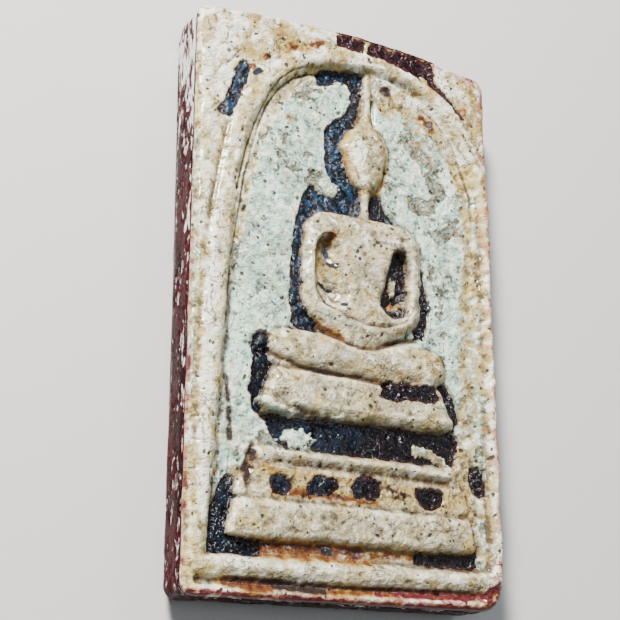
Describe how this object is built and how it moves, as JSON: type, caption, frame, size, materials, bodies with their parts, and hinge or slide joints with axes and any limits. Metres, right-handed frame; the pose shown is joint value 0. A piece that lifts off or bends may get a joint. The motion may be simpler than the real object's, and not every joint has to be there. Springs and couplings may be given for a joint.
{
  "type": "buddha amulet tablet",
  "caption": "Pressed plaster amulet tablet: seated figure on a stepped throne under an arch, with worn red and black lacquer.",
  "frame": {"origin": "centre of the tablet's outline, on the plane its back lies on", "axes": "+Z out of the face, +Y towards the figure's head, +X towards the viewer's right"},
  "size_m": [0.0242, 0.0412, 0.0046],
  "materials": {
    "lime_plaster": "matte, pitted",
    "red_lacquer": "worn satin",
    "black_lacquer": "glossy, flaked"
  },
  "bodies": {
    "root": {"plaster_tablet": "lime_plaster", "red_lacquer_coat": "red_lacquer", "red_lacquer_crown": "red_lacquer", "black_lacquer_halo": "black_lacquer", "black_lacquer_neck": "black_lacquer", "black_lacquer_elbow": "black_lacquer", "black_lacquer_arm": "black_lacquer", "black_lacquer_throne": "black_lacquer", "black_lacquer_knee": "black_lacquer", "black_lacquer_seat": "black_lacquer", "black_lacquer_foot": "black_lacquer", "black_lacquer_sill": "black_lacquer", "black_lacquer_spandrel": "black_lacquer", "black_lacquer_leg": "black_lacquer", "black_lacquer_spot_1": "black_lacquer", "black_lacquer_spot_2": "black_lacquer", "black_lacquer_spot_3": "black_lacquer", "black_lacquer_spot_4": "black_lacquer"}
  },
  "joints": []
}
